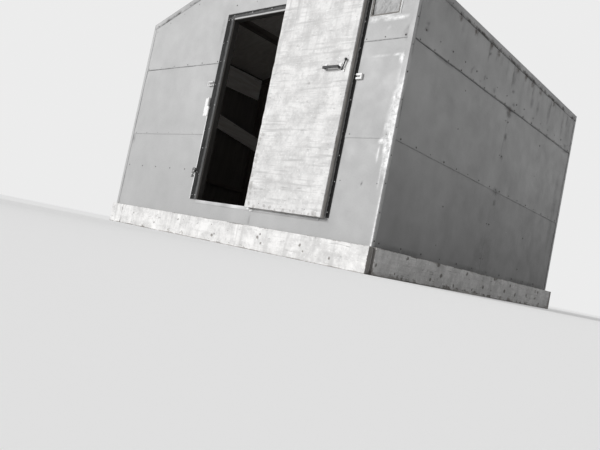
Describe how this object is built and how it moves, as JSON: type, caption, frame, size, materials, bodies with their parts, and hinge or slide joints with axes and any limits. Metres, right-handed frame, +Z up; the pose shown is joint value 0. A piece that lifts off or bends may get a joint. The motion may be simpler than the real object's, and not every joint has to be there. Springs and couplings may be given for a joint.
{
  "type": "ice fishing hut",
  "caption": "Timber-framed ice fishing hut clad in lapped flat sheet, with a gable roof, a wide doorway, a swinging door leaf, a small window and a skirt of heavy boards.",
  "frame": {"origin": "centre of the overall box on the ground", "axes": "-Y out of the doorway, +X to the right seen from in front, +Z up"},
  "size_m": [2.516, 2.545, 1.9698],
  "materials": {
    "cladding": "thin painted sheet metal over plywood, chalky grey, dented, with nail heads",
    "roofing": "plywood under dull grey sheet metal",
    "edge_metal": "bent light grey sheet metal with rust marks",
    "skirt_boards": "worn white paint on sawn boards, scuffed at the lower edge",
    "timber": "sawn softwood darkened with age",
    "plywood": "bare worn plywood",
    "door_ply": "plywood with streaky worn white paint",
    "trim_strip": "dark speckled rubber strip with nail heads",
    "sill_metal": "thin bent sheet metal, scuffed",
    "hardware": "weathered dull steel",
    "painted_hardware": "white painted steel, chipped, with rust",
    "window_wood": "weathered beads",
    "window_film": "crinkled clear film"
  },
  "bodies": {
    "hut": {"front_wall_left": "cladding", "front_wall_right": "cladding", "front_wall_sill": "cladding", "front_gable": "cladding", "left_wall": "cladding", "right_wall": "cladding", "rear_wall": "cladding", "roof_left": "roofing", "roof_right": "roofing", "ridge_cap": "roofing", "eave_strips": "edge_metal", "rake_strips": "edge_metal", "corner_strips": "edge_metal", "skirt_front": "skirt_boards", "skirt_rear": "skirt_boards", "skirt_left": "skirt_boards", "skirt_right": "skirt_boards", "floor_rims": "timber", "floor_joists": "timber", "bottom_plates": "timber", "top_plates": "timber", "side_wall_studs": "timber", "front_wall_studs": "timber", "doorway_header_and_sill": "timber", "centre_post": "timber", "rear_wall_studs": "timber", "side_wall_girts": "timber", "ridge_board": "timber", "rafters": "timber", "purlins": "timber", "left_wall_brace": "timber", "floor_deck": "plywood", "left_wall_board": "plywood", "door_trim_left": "trim_strip", "door_trim_right": "trim_strip", "door_trim_head": "trim_strip", "door_sill_strip": "sill_metal", "hinge_post_leaves": "hardware", "latch_keeper": "painted_hardware", "wall_hook": "painted_hardware", "old_hinge_leaves": "painted_hardware", "window_beads": "window_wood", "window_film": "window_film"},
    "door": {"door_panel": "door_ply", "door_stiles": "timber", "door_rails": "timber", "hinge_door_leaves": "hardware", "door_handle": "hardware", "door_latch": "hardware"}
  },
  "joints": [
    {"name": "door_swing", "type": "hinge", "parent": "hut", "child": "door", "pos_m": [0.272, -1.216, 0.923], "axis": [0, 0, -1], "range_deg": [0, 95]}
  ]
}
